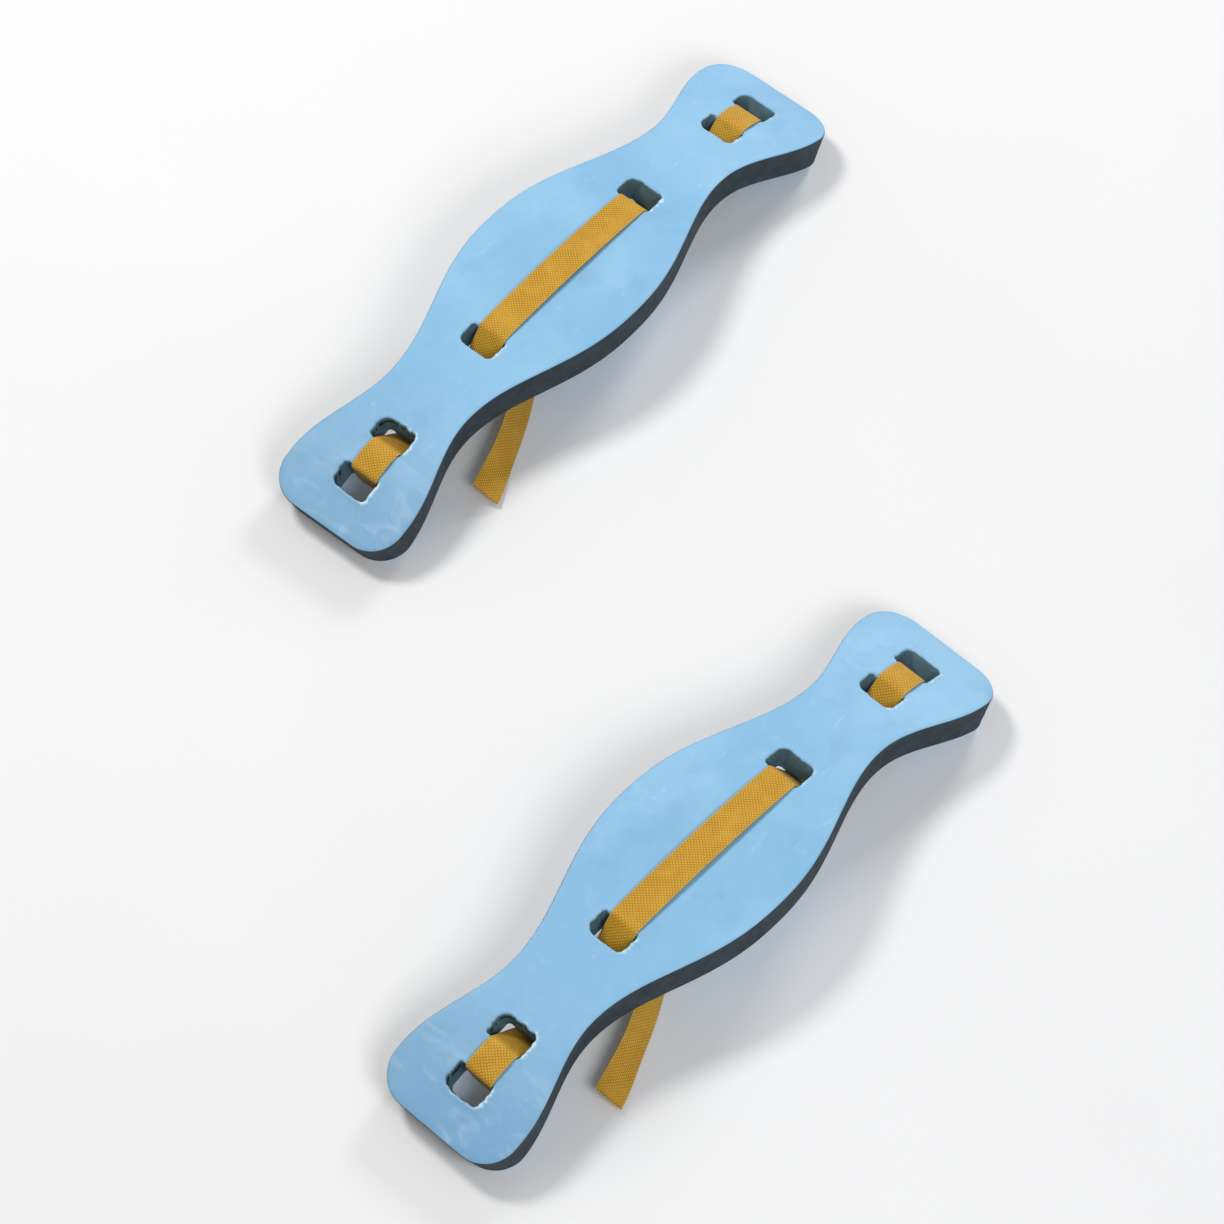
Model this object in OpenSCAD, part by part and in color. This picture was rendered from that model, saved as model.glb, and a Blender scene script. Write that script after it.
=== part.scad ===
// A pair of arched foam water skis, each with one webbing strap threaded through six slots.
// Origin: on the floor, under the middle of the pair's box. +X runs along the skis, +Z is up.
// Each ski stands on its two ends, convex side up, with the closed strap as the string of the bow.

/* [Board] */
// Length of the board, measured along its top face
board_len = 690; // [640:5:740]
// Half width of the board at its middle
mid_half_w = 86; // [80:1:92]
// Half width at the two necks
neck_half_w = 45; // [42:1:50]
// Half width of the two flared ends
flare_half_w = 69; // [64:1:74]
// Thickness of the foam
board_t = 34; // [30:1:36]
// Turn of the top face from the middle to the start of an end curve, in degrees
mid_turn = 4; // [3:0.5:6]
// Further turn of each end curve, in degrees
end_turn = 21; // [18:1:23]
// Radius of the four outer corners
corner_r = 40; // [30:1:44]
// Height taken off each end's lower edge, so that it stands on a narrow flat
foot_h = 1; // [0.5:0.25:2]

/* [Slots] */
// Distance from the middle to the inner pair of slots, along the top face
inner_slot_s = 115; // [108:1:122]
// Distance from the middle to the next pair of slots
neck_slot_s = 240; // [236:1:246]
// Distance from the middle to the outermost pair of slots
outer_slot_s = 296; // [292:1:300]
// Opening of a slot along the board
slot_l = 24; // [22:1:26]
// Opening of a slot across the board
slot_w = 38; // [36:1:42]
// Radius of a slot's corners
slot_r = 3; // [1:0.5:3]

/* [Webbing] */
// Width of the webbing
web_w = 30; // [28:1:32]
// Thickness of the webbing
web_t = 1.6; // [1.2:0.1:2]
// Sideways shift of the threaded strap from the board's centre line
web_y = -2; // [-3:0.5:3]
// Height that the long top run bows up off the board
web_bow = 2.5; // [0:0.5:4]

/* [Buckle] */
// Width of both buckle halves
buckle_w = 40; // [38:1:44]
// Thickness of the socket
socket_t = 11; // [10:0.5:13]
// Length of the socket's hollow body
socket_l = 34; // [32:1:38]
// Length of the plug's ladder frame
frame_l = 25; // [24:1:28]
// Thickness of the plug's ladder frame
frame_t = 7; // [6:0.5:8]
// Length of the plug's prongs
prong_l = 27; // [24:1:28]
// Height of the buckle's middle plane above the floor
buckle_z = 11; // [10:0.5:13]
// Travel that frees the plug from the socket
release_travel = 30; // [28:1:34]

/* [Free end] */
// Turn of the free end away from the strap, in degrees
tail_turn = 27; // [15:1:30]
// Length of the free end that lies on the floor
tail_flat_l = 150; // [80:1:160]

/* [Pair] */
// Shift of the second ski along the first one
pair_dx = -405; // [-425:5:-385]
// Shift of the second ski across the first one
pair_dy = -490; // [-510:5:-450]
// Turn of the second ski on the floor, in degrees
pair_turn = -3; // [-8:1:0]

/* [Hidden] */

foam_blue = [0.58, 0.77, 0.90];
web_gold = [0.84, 0.63, 0.24];
buckle_black = [0.08, 0.08, 0.09];
thread_gold = [0.72, 0.50, 0.14];

$fn = 48;
arc_fn = 256;
eps = 0.01;

// The top face is three tangent arcs: a nearly flat one, and a tighter one at each end.
mid_arc_s = 0.2 * board_len;
end_arc_s = 0.5 * board_len - mid_arc_s;
mid_r = mid_arc_s / (mid_turn * PI / 180);
end_r = end_arc_s / (end_turn * PI / 180);
full_turn = mid_turn + end_turn;
// Top of the arch, so that the flats under the two ends stand on the floor
top_z = mid_r - (mid_r - end_r) * cos(mid_turn) - (end_r - board_t) * cos(full_turn) - foot_h;
mid_centre = [0, top_z - mid_r];
end_centre = mid_centre + (mid_r - end_r) * [sin(mid_turn), cos(mid_turn)];
half_chord = end_centre[0] + end_r * sin(full_turn);
wedge_reach = 3 * board_len;

// Turn of the top face at a distance s from the middle, and the point h above it there
function turn_at(s) =
  let(a = abs(s))
  sign(s) * (a < mid_arc_s
    ? mid_turn * a / mid_arc_s
    : mid_turn + end_turn * (a - mid_arc_s) / end_arc_s);
function arch_point(s, h) =
  let(a = abs(turn_at(s)), side = s < 0 ? -1 : 1)
  abs(s) < mid_arc_s
    ? mid_centre + (mid_r + h) * [side * sin(a), cos(a)]
    : [side * (end_centre[0] + (end_r + h) * sin(a)), end_centre[1] + (end_r + h) * cos(a)];

// Half width of the board at a fraction u of its half length: a cosine swell in the middle,
// a neck, and a cosine swell to the flared end, whose outer corners are rounded
neck_u = 0.56;
flare_u = 0.89;
swell_power = 1.15;
function smooth(t) = (1 - cos(180 * t)) / 2;
function swell(u) =
  u < neck_u
    ? mid_half_w + (neck_half_w - mid_half_w) * smooth(pow(u / neck_u, swell_power))
    : neck_half_w + (flare_half_w - neck_half_w) * smooth(min(1, (u - neck_u) / (flare_u - neck_u)));
function corner_drop(x) =
  let(into = max(0, x - (half_chord - corner_r)))
  corner_r - sqrt(max(0, corner_r * corner_r - into * into));
function half_width(x) = swell(abs(x) / half_chord) - corner_drop(abs(x));
outline_steps = 40;
function outline_x(i) = half_chord * sin(90 * i / outline_steps);

// ---------- foam board ----------

module wedge_2d(from, to) {
  polygon([
    [0, 0],
    wedge_reach * [sin(from), cos(from)],
    wedge_reach * [sin((from + to) / 2), cos((from + to) / 2)] / cos((to - from) / 2),
    wedge_reach * [sin(to), cos(to)]
  ]);
}

module arc_band_2d(centre, r, t, from, to) {
  translate(centre)
    intersection() {
      difference() {
        circle(r = r, $fn = arc_fn);
        circle(r = r - t, $fn = arc_fn);
      }
      wedge_2d(from, to);
    }
}

module board_profile_2d() {
  arc_band_2d(mid_centre, mid_r, board_t, -mid_turn, mid_turn);
  arc_band_2d(end_centre, end_r, board_t, mid_turn, full_turn);
  mirror([1, 0])
    arc_band_2d(end_centre, end_r, board_t, mid_turn, full_turn);
}

module board_outline_2d() {
  right = [for (i = [-outline_steps : outline_steps]) [outline_x(i), -half_width(outline_x(i))]];
  left = [for (i = [outline_steps : -1 : -outline_steps]) [outline_x(i), half_width(outline_x(i))]];
  polygon(concat(right, left));
}

module rounded_rect_2d(l, w, r) {
  square([l - 2 * r, w], center = true);
  square([l, w - 2 * r], center = true);
  for (sx = [-1, 1], sy = [-1, 1])
    translate([sx * (l / 2 - r), sy * (w / 2 - r)])
      circle(r = r);
}

// A slot is punched square to the face, so it leans with the arch.
module slot_cut(s) {
  p = arch_point(s, -board_t / 2);
  translate([p[0], 0, p[1]])
    rotate([0, turn_at(s), 0])
      linear_extrude(2 * board_t, center = true)
        rounded_rect_2d(slot_l, slot_w, slot_r);
}

module upright_extrude(w) {
  rotate([90, 0, 0])
    linear_extrude(w, center = true)
      children();
}

module foam_board() {
  color(foam_blue)
    difference() {
      intersection() {
        upright_extrude(3 * mid_half_w)
          board_profile_2d();
        linear_extrude(2 * top_z)
          board_outline_2d();
      }
      for (side = [-1, 1], s = [inner_slot_s, neck_slot_s, outer_slot_s])
        slot_cut(side * s);
      translate([-board_len, -board_len, -board_t])
        cube([2 * board_len, 2 * board_len, board_t]);
    }
}

// ---------- webbing ----------

function unit(v) = v / norm(v);
// Direction of a route at point i, from the point before to the point after
function heading(p, i) = unit(p[min(i + 1, len(p) - 1)] - p[max(i - 1, 0)]);
function side_point(p, i, d) = p[i] + d * [-heading(p, i)[1], heading(p, i)[0]];

// A ribbon of webbing whose middle line is a route seen from the side
module ribbon(route, y) {
  upper = [for (i = [0 : len(route) - 1]) side_point(route, i, web_t / 2)];
  lower = [for (i = [len(route) - 1 : -1 : 0]) side_point(route, i, -web_t / 2)];
  translate([0, y, 0])
    upright_extrude(web_w)
      polygon(concat(upper, lower));
}

web_gap = 0.4;
web_h = web_t / 2 + web_gap;
bend_r = 1.8;
run_steps = 8;
inner_edge = slot_l / 2 - web_h;

// A quarter turn at an edge of a slot: at is the corner's distance from the middle and its height
// over the top face, out is +1 or -1 along the board, up is +1 or -1 through it
function slot_bend(s, h, out, up) = [
  for (a = [0, 30, 60, 90])
    arch_point(s + out * bend_r * (sin(a) - 1), h + up * bend_r * (cos(a) - 1))
];
function over_run(s0, s1, h0, bow) = [
  for (i = [1 : run_steps - 1])
    let(t = i / run_steps)
    arch_point(s0 + (s1 - s0) * t, h0 + bow * sin(180 * t))
];
function reversed(v) = [for (i = [len(v) - 1 : -1 : 0]) v[i]];
function mirrored(v) = [for (i = [len(v) - 1 : -1 : 0]) [-v[i][0], v[i][1]]];

under_h = -board_t - web_h;
// Half of the threaded route, from the middle of the long top run to the outermost slot's mouth
strap_half = concat(
  [arch_point(0, web_h + web_bow)],
  [for (t = [0.25, 0.5, 0.75])
    arch_point(t * inner_slot_s, web_h + web_bow * cos(90 * t))],
  slot_bend(inner_slot_s - inner_edge, web_h, 1, 1),
  reversed(slot_bend(inner_slot_s + inner_edge, under_h, -1, -1)),
  over_run(inner_slot_s + inner_edge, neck_slot_s - inner_edge, under_h, 0),
  slot_bend(neck_slot_s - inner_edge, under_h, 1, -1),
  reversed(slot_bend(neck_slot_s + inner_edge, web_h, -1, 1)),
  over_run(neck_slot_s + inner_edge, outer_slot_s - inner_edge, web_h, 1),
  slot_bend(outer_slot_s - inner_edge, web_h, 1, 1),
  [arch_point(outer_slot_s - inner_edge, -board_t + bend_r)]
);

module strap() {
  color(web_gold)
    ribbon(concat(mirrored(strap_half), [for (i = [1 : len(strap_half) - 1]) strap_half[i]]), web_y);
}

// The strap leaves the outermost slot here and heads for the buckle.
seam_gap = 0.6;
mouth = arch_point(outer_slot_s - inner_edge, -board_t + bend_r - seam_gap);
mouth_low = arch_point(outer_slot_s - inner_edge - bend_r, under_h - 1);

// Loop of webbing round the socket's bar, whose two plies then lie on each other
bar_r = 2;
loop_r = bar_r + web_gap + web_t / 2;
ply_gap = 0.1;
ply_h = (web_t + ply_gap) / 2;
loop_l = 14;
loop_lean = asin((loop_r - ply_h) / loop_l);
bar_tack_l = 16;
bar_tack_w = web_w - 8;
bar_tack_in = 4;
lap_l = 38;
lap_lead = 20;
thread_t = 0.4;

// ---------- buckle ----------
// The plug's frame spans x from -frame_l to 0, its prongs reach into the socket, whose mouth is at 0.
// The whole buckle lies with its back up.
side_wall = 2.6;
skin_t = 2.2;
end_wall = 3;
mouth_clear = 0.5;
cavity_w = buckle_w - 2 * side_wall;
cavity_t = socket_t - 2 * skin_t;
window_l = 13;
window_x = 11;
eye_w = web_w + 2;
eye_l = 5.5;
socket_bar_x = socket_l + eye_l + bar_r;
socket_end_x = socket_bar_x + bar_r;

module buckle_place() {
  translate([0, web_y, buckle_z])
    children();
}

module rounded_block(x0, x1, w, t, r) {
  translate([(x0 + x1) / 2, 0, -t / 2])
    linear_extrude(t)
      rounded_rect_2d(x1 - x0, w, r);
}

module socket_bar() {
  translate([socket_bar_x, 0, 0])
    rotate([90, 0, 0])
      cylinder(r = bar_r, h = eye_w + 2, center = true);
}

module buckle_socket() {
  color(buckle_black)
    buckle_place() {
      difference() {
        rounded_block(mouth_clear, socket_end_x, buckle_w, socket_t, 5);
        // Hollow for the prongs, open at the mouth
        translate([-eps, -cavity_w / 2, -cavity_t / 2])
          cube([socket_l - end_wall, cavity_w, cavity_t]);
        // Side windows for the prongs' shoulders
        translate([window_x, -buckle_w, -cavity_t / 2])
          cube([window_l, 2 * buckle_w, cavity_t]);
        // Eye for the webbing
        translate([socket_l, -eye_w / 2, -socket_t])
          cube([socket_end_x, eye_w, 2 * socket_t]);
      }
      socket_bar();
    }
}

prong_t = cavity_t - 1;
prong_w = 4.5;
centre_w = 5;
shoulder_l = 9;
shoulder_h = 2.5;
prong_tip_h = 3.5;
root_in = 1;
outer_y = cavity_w / 2 - 0.8;
prong_out_y = outer_y - shoulder_h;
prong_in_y = prong_out_y - prong_w;
bar_w = 3.2;

module prong_outline_2d() {
  polygon([
    [-root_in, prong_in_y],
    [prong_l, prong_in_y],
    [prong_l, outer_y - prong_tip_h],
    [prong_l - shoulder_l / 2, outer_y],
    [prong_l - shoulder_l, outer_y],
    [prong_l - shoulder_l, prong_out_y],
    [-root_in, prong_out_y]
  ]);
}

module buckle_plug() {
  color(buckle_black)
    buckle_place() {
      difference() {
        rounded_block(-frame_l, 0, buckle_w, frame_t, 4);
        // Two eyes of the ladder lock, with the locking bar between them
        for (x = [-frame_l + bar_w, -frame_l + 2 * bar_w + eye_l])
          translate([x, -eye_w / 2, -frame_t])
            cube([eye_l, eye_w, 2 * frame_t]);
      }
      for (m = [0, 1])
        mirror([0, m, 0])
          translate([0, 0, -prong_t / 2])
            linear_extrude(prong_t)
              prong_outline_2d();
      translate([-root_in, -centre_w / 2, -prong_t / 2])
        cube([prong_l - root_in, centre_w, prong_t]);
    }
}

// ---------- webbing under the board ----------

function ring_points(c, r, from, to, steps) = [
  for (i = [0 : steps])
    let(a = from + (to - from) * i / steps)
    c + r * [cos(a), sin(a)]
];

// Socket side: down from the far outermost slot, round the socket's bar and back along itself
socket_route = concat(
  [mouth, mouth_low],
  [[socket_bar_x + lap_l + lap_lead, buckle_z + ply_h]],
  [[socket_bar_x + loop_l, buckle_z + ply_h]],
  ring_points([socket_bar_x, buckle_z], loop_r, 90 - loop_lean, 270 + loop_lean, 10),
  [[socket_bar_x + loop_l, buckle_z - ply_h]],
  [[socket_bar_x + lap_l, buckle_z - ply_h]]
);

module socket_strap() {
  color(web_gold)
    ribbon(socket_route, web_y);
}

// Rows of thread that close the loop, proud of both faces of the lap
module bar_tack() {
  color(thread_gold)
    for (side = [-1, 1])
      translate([
        socket_bar_x + lap_l - bar_tack_l / 2 - bar_tack_in,
        web_y,
        buckle_z + side * (ply_h + (web_t + thread_t + ply_gap) / 2)
      ])
        cube([bar_tack_l, bar_tack_w, thread_t], center = true);
}

// Plug side: from the near outermost slot to the ladder lock, down through its inner eye, under
// the locking bar, up through its outer eye and over its outer bar, where the free end starts
frame_h = frame_t / 2;
web_over = frame_h + web_h;
load_over = web_over + web_t + web_gap;
inner_eye_x = -frame_l + 2 * bar_w + 1.5 * eye_l;
outer_eye_x = -frame_l + bar_w + eye_l / 2;
fold_r = 1.8;
slope_l = 40;
tail_x = -frame_l - 1;
tail_gap = 3.6;

// A quarter fold whose corner is at p, coming along direction a and leaving along direction b
function fold(p, a, b) = [
  for (t = [0, 30, 60, 90])
    p - fold_r * (1 - sin(t)) * a + fold_r * (1 - cos(t)) * b
];
toward_slot = [-1, 0];
toward_socket = [1, 0];
down = [0, -1];
up = [0, 1];
plug_route = concat(
  [[-mouth[0], mouth[1]], [-mouth_low[0], mouth_low[1]]],
  [[-frame_l - slope_l, buckle_z + load_over], [-frame_l, buckle_z + load_over]],
  fold([inner_eye_x, buckle_z + load_over], toward_socket, down),
  fold([inner_eye_x, buckle_z - web_over], down, toward_slot),
  fold([outer_eye_x, buckle_z - web_over], toward_slot, up),
  fold([outer_eye_x, buckle_z + web_over], up, toward_slot),
  [[tail_x + tail_gap, buckle_z + web_over]]
);

module plug_strap() {
  color(web_gold)
    ribbon(plug_route, web_y);
}

// The free end runs level off the outer bar, falls to the floor in an S and lies on it.
tail_level_l = 12;
tail_drop_l = 36;
tail_steps = 8;
tail_lead = 20;
tail_floor_z = web_t / 2 + web_gap;
tail_start_z = buckle_z + web_over;
tail_route = concat(
  [[tail_lead, tail_start_z], [-tail_level_l, tail_start_z]],
  [for (i = [1 : tail_steps])
    let(t = i / tail_steps)
    [-tail_level_l - tail_drop_l * t, tail_start_z + (tail_floor_z - tail_start_z) * smooth(t)]],
  [[-tail_level_l - tail_drop_l - tail_flat_l, tail_floor_z]]
);

// Its root is cut square to the strap, because it lies turned away from it.
module strap_tail() {
  color(web_gold)
    difference() {
      translate([tail_x, web_y, 0])
        rotate([0, 0, tail_turn])
          ribbon(tail_route, 0);
      translate([tail_x, -web_w, 0])
        cube([2 * web_w, 2 * web_w, 2 * tail_start_z]);
    }
}

// ---------- the pair ----------

// How far the second ski's flared end reaches along X and Y once it is turned on the floor
corner_x = half_chord - corner_r;
corner_y = flare_half_w - corner_r;
turn = abs(pair_turn);
turned_x = corner_x * cos(turn) + corner_y * sin(turn) + corner_r;
turned_y = max(mid_half_w, corner_x * sin(turn) + corner_y * cos(turn) + corner_r);
// Middle of the pair's box, seen from the first ski's middle
pair_mid = [(half_chord + pair_dx - turned_x) / 2, (mid_half_w + pair_dy - turned_y) / 2];

module at_a() {
  translate([-pair_mid[0], -pair_mid[1], 0])
    children();
}

module at_b() {
  translate([pair_dx - pair_mid[0], pair_dy - pair_mid[1], 0])
    rotate([0, 0, pair_turn])
      children();
}

at_a() foam_board();  // ski_a_foam_board
at_a() strap();  // ski_a_strap
at_a() socket_strap();  // ski_a_socket_strap
at_a() bar_tack();  // ski_a_bar_tack
at_a() plug_strap();  // ski_a_plug_strap
at_a() strap_tail();  // ski_a_strap_tail
at_a() buckle_socket();  // ski_a_buckle_socket
at_a() buckle_plug();  // ski_a_buckle_plug
at_b() foam_board();  // ski_b_foam_board
at_b() strap();  // ski_b_strap
at_b() socket_strap();  // ski_b_socket_strap
at_b() bar_tack();  // ski_b_bar_tack
at_b() plug_strap();  // ski_b_plug_strap
at_b() strap_tail();  // ski_b_strap_tail
at_b() buckle_socket();  // ski_b_buckle_socket
at_b() buckle_plug();  // ski_b_buckle_plug
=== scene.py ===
"""Looks for the pair of arched foam water skis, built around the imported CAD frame."""

import math

import bpy
from mathutils import Matrix, Vector, noise
from mathutils.geometry import delaunay_2d_cdt


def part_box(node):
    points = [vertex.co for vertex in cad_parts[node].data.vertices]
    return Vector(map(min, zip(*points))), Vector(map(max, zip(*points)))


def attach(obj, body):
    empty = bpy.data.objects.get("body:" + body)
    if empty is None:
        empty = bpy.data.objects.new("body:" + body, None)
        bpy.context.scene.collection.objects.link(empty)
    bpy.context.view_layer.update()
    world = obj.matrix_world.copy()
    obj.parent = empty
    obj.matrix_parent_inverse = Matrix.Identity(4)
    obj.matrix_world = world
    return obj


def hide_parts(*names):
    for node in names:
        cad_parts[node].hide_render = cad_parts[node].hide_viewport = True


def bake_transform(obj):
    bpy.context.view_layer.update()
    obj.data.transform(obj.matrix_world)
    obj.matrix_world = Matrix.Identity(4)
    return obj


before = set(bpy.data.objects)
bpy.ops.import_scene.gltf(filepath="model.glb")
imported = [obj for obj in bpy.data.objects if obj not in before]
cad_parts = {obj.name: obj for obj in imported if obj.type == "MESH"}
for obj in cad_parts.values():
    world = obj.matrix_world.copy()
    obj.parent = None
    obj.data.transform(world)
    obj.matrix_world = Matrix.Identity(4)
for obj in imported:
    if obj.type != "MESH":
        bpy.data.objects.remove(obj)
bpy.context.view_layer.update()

MM = 0.001
DEG = math.pi / 180

# ---------- the ski's own measures, in mm and degrees, as part.scad has them ----------
BOARD_L = 690
MID_HALF_W = 86
NECK_HALF_W = 45
FLARE_HALF_W = 69
BOARD_T = 34
MID_TURN = 4
END_TURN = 21
CORNER_R = 34
FOOT_H = 1
NECK_U = 0.56
FLARE_U = 0.89
SWELL_POWER = 1.15
INNER_SLOT_S = 115
NECK_SLOT_S = 240
OUTER_SLOT_S = 296
SLOT_L = 24
SLOT_W = 38
WEB_W = 30
WEB_T = 1.6
WEB_Y = -2
WEB_GAP = 0.4
WEB_BOW = 2.5
BUCKLE_Z = 11
SOCKET_BAR_X = 41.5
LOOP_L = 14
LAP_L = 38
LAP_LEAD = 20
FRAME_L = 25
FRAME_H = 3.5
BAR_W = 3.2
EYE_L = 5.5
BAR_TACK_L = 16
BAR_TACK_IN = 4
TAIL_X = -26
TAIL_GAP = 3.6
TAIL_TURN = 27
TAIL_LEVEL_L = 12
TAIL_DROP_L = 36
TAIL_FLAT_L = 150
PAIR_TURN = -3

MID_ARC_S = 0.2 * BOARD_L
END_ARC_S = 0.5 * BOARD_L - MID_ARC_S
MID_R = MID_ARC_S / (MID_TURN * DEG)
END_R = END_ARC_S / (END_TURN * DEG)
FULL_TURN = MID_TURN + END_TURN
TOP_Z = (
    MID_R
    - (MID_R - END_R) * math.cos(MID_TURN * DEG)
    - (END_R - BOARD_T) * math.cos(FULL_TURN * DEG)
    - FOOT_H
)
END_CX = (MID_R - END_R) * math.sin(MID_TURN * DEG)
END_CZ = TOP_Z - MID_R + (MID_R - END_R) * math.cos(MID_TURN * DEG)
HALF_CHORD = END_CX + END_R * math.sin(FULL_TURN * DEG)
WEB_H = WEB_T / 2 + WEB_GAP
INNER_EDGE = SLOT_L / 2 - WEB_H
UNDER_H = -BOARD_T - WEB_H


def turn_at(s):
    a = abs(s)
    if a < MID_ARC_S:
        turn = MID_TURN * a / MID_ARC_S
    else:
        turn = MID_TURN + END_TURN * (a - MID_ARC_S) / END_ARC_S
    return math.copysign(turn, s)


def arch_point(s, h):
    """The point h above the top face at a distance s from the ski's middle, as x and z."""
    a = abs(turn_at(s)) * DEG
    side = -1 if s < 0 else 1
    if abs(s) < MID_ARC_S:
        return side * (MID_R + h) * math.sin(a), TOP_Z - MID_R + (MID_R + h) * math.cos(a)
    return side * (END_CX + (END_R + h) * math.sin(a)), END_CZ + (END_R + h) * math.cos(a)


def smooth(t):
    return (1 - math.cos(math.pi * min(1, max(0, t)))) / 2


def swell(u):
    if u < NECK_U:
        return MID_HALF_W + (NECK_HALF_W - MID_HALF_W) * smooth((u / NECK_U) ** SWELL_POWER)
    return NECK_HALF_W + (FLARE_HALF_W - NECK_HALF_W) * smooth((u - NECK_U) / (FLARE_U - NECK_U))


def plain_width(s, h=0):
    return swell(min(1, abs(arch_point(s, h)[0]) / HALF_CHORD))


def top_width(s):
    into = max(0, abs(s) - (BOARD_L / 2 - CORNER_R))
    return plain_width(s) - CORNER_R + math.sqrt(max(0, CORNER_R**2 - into**2))


def noise3(x, y, z):
    """Smooth noise between about -1 and 1."""
    return noise.noise(Vector((x, y, z)))


# ---------- colours ----------

# Foam
SKIN_DEEP = (0.245, 0.515, 0.775, 1)
SKIN_PALE = (0.295, 0.575, 0.815, 1)
SKIN_BLOTCH = (0.40, 0.64, 0.85, 1)
SKIN_SCUFF = (0.50, 0.72, 0.88, 1)
SKIN_DIRT = (0.20, 0.40, 0.60, 1)
# Painted shade: the skin darkens towards the near end
SKIN_NEAR_SHADE = (0.17, 0.34, 0.54, 1)
SKIN_STREAK = (0.42, 0.62, 0.80, 1)
# Painted highlight on the torn lips of the slots
TORN_LIP_HIGHLIGHT = (0.66, 0.90, 0.96, 1)
# Painted shade: the outer wall is the skin's foam, coloured near black
SIDE_SHADE_DARK = (0.022, 0.038, 0.052, 1)
SIDE_SHADE_PALE = (0.040, 0.068, 0.092, 1)
# Painted shade: the slot walls are the skin's foam, coloured darker than the skin
BORE_SHADE_DARK = (0.13, 0.24, 0.30, 1)
BORE_SHADE_PALE = (0.18, 0.33, 0.41, 1)
# Painted shade in the open cells of the cut walls
CELL_PIT_SHADE = (0.018, 0.03, 0.04, 1)
# Webbing and thread
# Painted shade in the weave's hollows and painted highlight on its crowns
WEB_HOLLOW_SHADE = (0.38, 0.175, 0.008, 1)
WEB_CROWN_HIGHLIGHT = (0.80, 0.455, 0.045, 1)
WEB_WORN = (0.84, 0.50, 0.06, 1)
WEB_SOIL = (0.48, 0.23, 0.02, 1)
WEB_EDGE = (0.82, 0.52, 0.12, 1)
# Painted shade in the grooves of the thread's twist
THREAD_GROOVE_SHADE = (0.42, 0.21, 0.03, 1)
THREAD_PALE = (0.62, 0.36, 0.08, 1)
THREAD_FUZZ = (0.74, 0.5, 0.16, 1)
# Buckle and floor
PLASTIC_DARK = (0.012, 0.013, 0.016, 1)
PLASTIC_PALE = (0.022, 0.023, 0.027, 1)
PLASTIC_RUB = (0.06, 0.06, 0.065, 1)
FLOOR_DARK = (0.90, 0.90, 0.90, 1)
FLOOR_PALE = (0.93, 0.93, 0.93, 1)

# ---------- node helpers ----------


class Nodes:
    """Short names for building one material's node tree."""

    def __init__(self, name):
        self.material = bpy.data.materials.new(name)
        self.material.use_nodes = True
        self.tree = self.material.node_tree
        self.shader = self.tree.nodes["Principled BSDF"]

    def add(self, kind, **sockets):
        node = self.tree.nodes.new(kind)
        for key, value in sockets.items():
            self.feed(node.inputs[key.replace("_", " ")], value)
        return node

    def feed(self, socket, value):
        if isinstance(value, bpy.types.NodeSocket):
            self.tree.links.new(value, socket)
        else:
            socket.default_value = value

    def math(self, operation, a, b=0.0, c=0.0, clamp=False):
        node = self.tree.nodes.new("ShaderNodeMath")
        node.operation = operation
        node.use_clamp = clamp
        for socket, value in zip(node.inputs, (a, b, c)):
            self.feed(socket, value)
        return node.outputs[0]

    def mix(self, factor, a, b, blend="MIX"):
        node = self.tree.nodes.new("ShaderNodeMix")
        node.data_type = "RGBA"
        node.blend_type = blend
        self.feed(node.inputs[0], factor)
        self.feed(node.inputs[6], a)
        self.feed(node.inputs[7], b)
        return node.outputs[2]

    def noise(self, scale, detail=3.0, rough=0.5, vector=None, distortion=0.0):
        node = self.add("ShaderNodeTexNoise", Scale=scale, Detail=detail, Roughness=rough)
        self.feed(node.inputs["Distortion"], distortion)
        if vector is None:
            vector = self.place()
        self.feed(node.inputs["Vector"], vector)
        return node.outputs[0]

    def place(self):
        return self.add("ShaderNodeTexCoord").outputs["Object"]

    def scaled_place(self, x, y, z):
        node = self.add("ShaderNodeMapping")
        self.feed(node.inputs["Vector"], self.place())
        node.inputs["Scale"].default_value = (x, y, z)
        return node.outputs[0]

    def attribute(self, name):
        node = self.tree.nodes.new("ShaderNodeAttribute")
        node.attribute_name = name
        return node.outputs["Fac"]

    def step(self, value, low, high, to_low=0.0, to_high=1.0):
        node = self.tree.nodes.new("ShaderNodeMapRange")
        node.interpolation_type = "SMOOTHSTEP"
        for socket, v in zip(node.inputs, (value, low, high, to_low, to_high)):
            self.feed(socket, v)
        return node.outputs[0]

    def bump(self, height, distance, strength=1.0, normal=None):
        node = self.add("ShaderNodeBump", Height=height, Distance=distance, Strength=strength)
        if normal is not None:
            self.feed(node.inputs["Normal"], normal)
        return node.outputs[0]

    def finish(self, colour, roughness, normal=None):
        self.feed(self.shader.inputs["Base Color"], colour)
        self.feed(self.shader.inputs["Roughness"], roughness)
        if normal is not None:
            self.feed(self.shader.inputs["Normal"], normal)
        return self.material


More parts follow.
